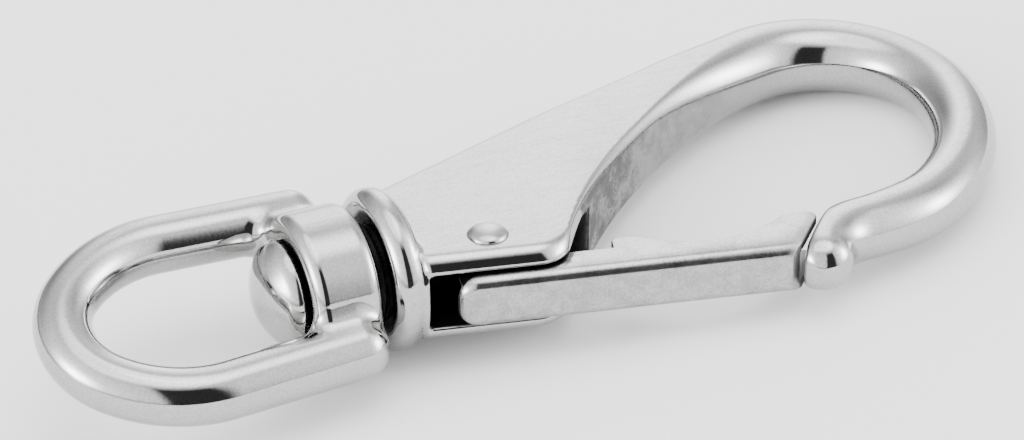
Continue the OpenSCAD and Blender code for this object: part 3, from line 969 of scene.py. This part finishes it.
def sheet_steel():
    """Rolled sheet: softer gloss with a fine grain along the gate."""
    material, tree, coords = new_material("rolled_sheet")
    turned_coords = tree.node("Mapping", {"Vector": coords, "Rotation": (0, 0, math.radians(GATE_ANGLE)),
                                          "Scale": (0.12, 1, 1)})
    lines = noise(tree, turned_coords, 3500, 2)
    wear = noise(tree, coords, 500, 4, 0.7)
    specks = noise(tree, coords, 4500, 2, 0.6).rise(0.32, 0.68)
    x, y, z = (coords.part(i) * 1000 for i in range(3))
    past_end = reach(x, y, end_place, flat_normal)
    v = reach(x, y, PIN, left(-GATE_ANGLE))
    # The fold's inner faces: rougher, and darker by painted shade
    inside = z.size().fall(GATE_HALF - SHEET + 0.05, GATE_HALF - SHEET + 0.15).both(
        v.rise(-GATE_DROP + SHEET - 0.15, -GATE_DROP + SHEET - 0.05))
    worn = past_end.rise(-1.2, -0.6)
    # The sheared end: rougher, and near black by painted shade in the gap by the nose
    sheared_and_shade = past_end.rise(-0.2, -0.06)
    roughness = 0.13 + 0.08 * wear + 0.05 * lines + worn * 0.2 + sheared_and_shade * 0.2 + inside * 0.3
    clean = (0.5 * wear.rise(0.35, 0.65) + 0.5 * specks).blend(grey(0.26, 0.005), grey(0.44, 0.005))
    # Painted shade in the colour: the fold's inner faces darker, the sheared end near black
    colour = inside.blend(sheared_and_shade.blend(clean, grey(0.07)), grey(0.16))
    bump = tree.node("Bump", {"Height": lines, "Strength": 0.1, "Distance": 0.00003})
    finish_material(tree, colour, roughness, bump)
    return material


def rivet_steel():
    """Rivet heads: bright, with faint hammer marks."""
    material, tree, coords = new_material("hammered_rivet")
    marks = tree.node("TexVoronoi", {"Vector": coords, "Scale": 1500})
    wear = noise(tree, coords, 900, 4, 0.7)
    roughness = 0.1 + 0.1 * wear
    colour = wear.blend(grey(0.36, 0.006), grey(0.44, 0.006))
    bump = tree.node("Bump", {"Height": marks, "Strength": 0.15, "Distance": 0.00005})
    finish_material(tree, colour, roughness, bump)
    return material


def drawn_wire():
    """Drawn wire: fine lines, a little duller than the castings."""
    material, tree, coords = new_material("drawn_wire")
    lines = noise(tree, coords, 5000, 2)
    roughness = 0.18 + 0.1 * lines
    colour = lines.blend(grey(0.5, 0.01), grey(0.62, 0.01))
    bump = tree.node("Bump", {"Height": lines, "Strength": 0.1, "Distance": 0.00002})
    finish_material(tree, colour, roughness, bump)
    return material


def pale_floor():
    material, tree, coords = new_material("pale_floor")
    mottle = noise(tree, coords, 3, 2)
    colour = mottle.blend(grey(0.87), grey(0.9))
    surface = tree.node("BsdfDiffuse", {"Color": colour, "Roughness": 0.0})
    tree.node("OutputMaterial", {"Surface": surface})
    return material


coil_end = np.array([0, 0, coil_half - WIRE_R])
for piece, material, body_name, node, slot in (
    (body, cast_steel("body_casting", body_painted_shade), "hook", "hook_body", "cast_steel"),
    (eye, cast_steel("eye_casting", eye_painted_shade), "eye", "swivel_eye", "cast_steel"),
    (gate, sheet_steel(), "gate", "gate", "sheet_steel"),
    (pin, rivet_steel(), "hook", "gate_pin", "rivet_steel"),
    (spring, drawn_wire(), "hook", "gate_spring", "spring_wire"),
):
    piece.data.materials.clear()
    piece.data.materials.append(material)
    if piece is spring:
        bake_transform(spring)
    else:
        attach(piece, body_name)
    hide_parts(node)

# ---- floor: the hook lies on its collar's rim and its bow ----

FLOOR_GAP = 0.02
body_points = points_of(body) / MM
bow_points = body_points[body_points[:, 0] > web_end[0][0]]
rest_rise = float(np.min((bow_points[:, 2] + COLLAR_R) / (bow_points[:, 0] - COLLAR_BACK)))
floor = add("plane", "floor", size=6, location=(0, 0, 0))
floor.matrix_world = (Matrix.Translation((COLLAR_BACK * MM, 0, -(COLLAR_R + FLOOR_GAP) * MM))
                      @ Matrix.Rotation(-math.atan(rest_rise), 4, "Y"))
only(floor)
bpy.ops.object.transform_apply(location=True, rotation=True, scale=True)
floor.data.materials.append(pale_floor())

# ---- light: soft lamps round a white table, a bright ceiling, and a dark gap where the room is open ----

BRIGHTNESS = 1.35
ROOM, CEILING = 1.15, 1.7
# Level, bearing and height of the middle, width and height
LAMPS = (
    (1.6, -80, 20, 50, 45),
    (11.4, -84, 14, 17, 13),
    (2.5, 66, 24, 32, 34),
    (8.3, 66, 22, 15, 13),
    (3.6, 152, 23, 20, 24),
)
CEILING_LAMP = (1.7, 70, 90, 80, 40)
# The same for soft shades, with the share of the light that each takes
SHADES = (
    (0.55, 122, 8, 20, 16),
    (0.45, 104, 44, 18, 14),
    (0.55, -160, 15, 38, 26),
    (0.5, 180, 15, 14, 16),
    (0.5, 133, 27, 11, 18),
)
HORIZON_SHARE = 0.45
GAP_SHARE = 0.965


def studio():
    world = bpy.data.worlds.new("studio")
    bpy.context.scene.world = world
    world.use_nodes = True
    world.node_tree.nodes.clear()
    tree = Shade(world.node_tree)
    direction = tree.node("TexCoord", out=0)
    x, y, z = (tree.node("SeparateXYZ", {"Vector": direction}, out=i) for i in range(3))
    height = tree.math("DEGREES", tree.math("ARCSINE", z))
    bearing = tree.math("DEGREES", tree.math("ARCTAN2", x, 0 - y))

    def lamp(level, towards, up, wide, tall):
        """Soft lamp at a bearing and a height, in degrees."""
        off = tree.math("WRAP", bearing - towards, 180, -180) / wide
        b = (height - up) / tall
        return level * tree.math("POWER", math.e, 0 - (off * off + b * b))

    level = ROOM + lamp(*LAMPS[0])
    for row in LAMPS[1:]:
        level = level + lamp(*row)
    level = level + height.rise(58, 74) * (CEILING + lamp(*CEILING_LAMP))
    for row in SHADES:
        level = level * (1 - lamp(*row))
    level = level * (1 - HORIZON_SHARE * height.rise(-9, -3).both(height.fall(1, 6)))
    gap = bearing.rise(-24, -16) * bearing.fall(13, 26) * height.rise(-16, -10) * height.fall(50, 65)
    level = level * (1 - gap * GAP_SHARE)
    background = tree.node("Background", {"Strength": level * BRIGHTNESS, "Color": (1, 1, 1, 1)})
    tree.node("OutputWorld", {"Surface": background})


studio()

# ---- camera ----

AZIMUTH, ELEVATION, ROLL = (math.radians(a) for a in (-25.8783, 30.9614, 0.1393))
TARGET = Vector((42.4875, 2.7067, 0)) * MM
DISTANCE = 400.0 * MM
back = Vector((math.sin(AZIMUTH) * math.cos(ELEVATION), -math.cos(AZIMUTH) * math.cos(ELEVATION),
               math.sin(ELEVATION)))
right = Vector((math.cos(AZIMUTH), math.sin(AZIMUTH), 0))
camera_data = bpy.data.cameras.new("camera")
camera_data.sensor_width = 36
camera_data.lens = 150.6
camera_data.clip_start = 0.01
camera = bpy.data.objects.new("camera", camera_data)
bpy.context.scene.collection.objects.link(camera)
axes = Matrix((right, back.cross(right), back)).transposed()
camera.matrix_world = (Matrix.Translation(TARGET + DISTANCE * back)
                       @ (axes @ Matrix.Rotation(ROLL, 3, "Z")).to_4x4())
bpy.context.scene.camera = camera
